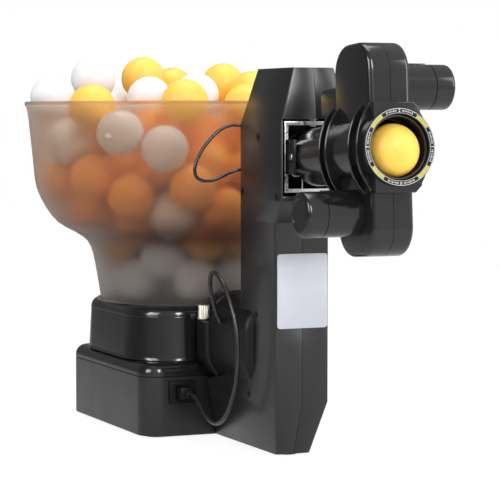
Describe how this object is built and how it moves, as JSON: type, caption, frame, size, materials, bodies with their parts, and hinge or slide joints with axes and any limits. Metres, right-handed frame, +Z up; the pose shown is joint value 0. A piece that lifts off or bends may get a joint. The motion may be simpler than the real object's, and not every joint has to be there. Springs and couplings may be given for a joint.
{
  "type": "table tennis robot",
  "caption": "Table tennis robot with a smoky ball hopper on a square base box, an upright feed column and a shooting head with powered wheels that swings, tilts and rolls.",
  "frame": {"origin": "centre of the underside of the base's rubber mat, below the hopper's axis", "axes": "+Z up; -Y is the way the balls fly; X runs across the robot"},
  "size_m": [0.2944, 0.5615, 0.3287],
  "materials": {
    "shell_black": "moulded satin gloss",
    "inner_black": "moulded matt",
    "smoke_clear": "smoky translucent gloss",
    "rubber_pad": "matt",
    "plate_grey": "smooth gloss",
    "board_green": "matt",
    "tyre_rubber": "matt foam rubber",
    "nylon_white": "matt",
    "cord_jacket": "satin",
    "dial_black": "smooth gloss",
    "nickel": "bright nickel plating",
    "zinc_sheet": "zinc plated sheet",
    "steel": "satin"
  },
  "bodies": {
    "base": {"base_tray": "shell_black", "base_deck": "shell_black", "base_mat": "rubber_pad", "turret": "shell_black", "control_board": "board_green", "feed_gearmotor": "steel", "lead_socket": "inner_black", "lead_plug": "inner_black", "feed_pan": "shell_black", "feed_tube_run": "inner_black", "feed_tube_lower_bend": "inner_black", "feed_tube_riser": "inner_black", "feed_tube_upper_bend": "inner_black", "neck_duct": "shell_black", "column_shell_left": "shell_black", "column_shell_right": "shell_black", "column_plate": "plate_grey", "column_foot": "rubber_pad", "swing_motor": "steel", "control_lead": "cord_jacket", "cabin_loop": "cord_jacket"},
    "hopper": {"hopper_bowl": "smoke_clear"},
    "feed": {"feed_rotor": "nylon_white", "feed_hub": "nylon_white"},
    "screw": {"clamp_screw": "nickel"},
    "swing": {"swing_frame": "zinc_sheet", "swing_sector": "nylon_white"},
    "pinion": {"swing_pinion": "nylon_white"},
    "tilt": {"tilt_sleeve": "shell_black"},
    "head": {"head_shell_left": "shell_black", "head_shell_right": "shell_black", "mouth_frame": "shell_black", "muzzle_tube": "inner_black", "dial_ring": "dial_black", "upper_motor_case": "shell_black", "upper_motor": "steel", "lower_motor_case": "shell_black", "lower_motor": "steel"},
    "upper_wheel": {"upper_wheel_hub": "nylon_white", "upper_wheel_tyre": "tyre_rubber"},
    "lower_wheel": {"lower_wheel_hub": "nylon_white", "lower_wheel_tyre": "tyre_rubber"}
  },
  "joints": [
    {"name": "hopper_lift", "type": "slide", "parent": "base", "child": "hopper", "axis": [0, 0, 1], "range_m": [0, 0.15]},
    {"name": "feed_spin", "type": "hinge", "parent": "base", "child": "feed", "pos_m": [0, 0, 0.1066], "axis": [0, 0, 1], "continuous": true},
    {"name": "screw_turn", "type": "hinge", "parent": "base", "child": "screw", "pos_m": [-0.024, -0.094, 0.1], "axis": [0, 0, 1], "continuous": true},
    {"name": "swing_turn", "type": "hinge", "parent": "base", "child": "swing", "pos_m": [0, -0.262, 0.2427], "axis": [0, 0, 1], "range_deg": [-14, 14]},
    {"name": "pinion_turn", "type": "hinge", "parent": "base", "child": "pinion", "pos_m": [0, -0.233, 0.2733], "axis": [0, 0, 1], "range_deg": [-33, 33]},
    {"name": "head_tilt", "type": "hinge", "parent": "swing", "child": "tilt", "pos_m": [0, -0.277, 0.2429], "axis": [-1, 0, 0], "range_deg": [-14, 16]},
    {"name": "head_roll", "type": "hinge", "parent": "tilt", "child": "head", "pos_m": [0, -0.277, 0.2429], "axis": [0, -0.9976, 0.0698], "range_deg": [-180, 180]},
    {"name": "upper_wheel_spin", "type": "hinge", "parent": "head", "child": "upper_wheel", "pos_m": [0, -0.366, 0.29624], "axis": [1, 0, 0], "continuous": true},
    {"name": "lower_wheel_spin", "type": "hinge", "parent": "head", "child": "lower_wheel", "pos_m": [0, -0.37255, 0.20247], "axis": [1, 0, 0], "continuous": true}
  ],
  "couplings": [
    {"joint": "pinion_turn", "follows": "swing_turn", "ratio": -2.2857}
  ]
}
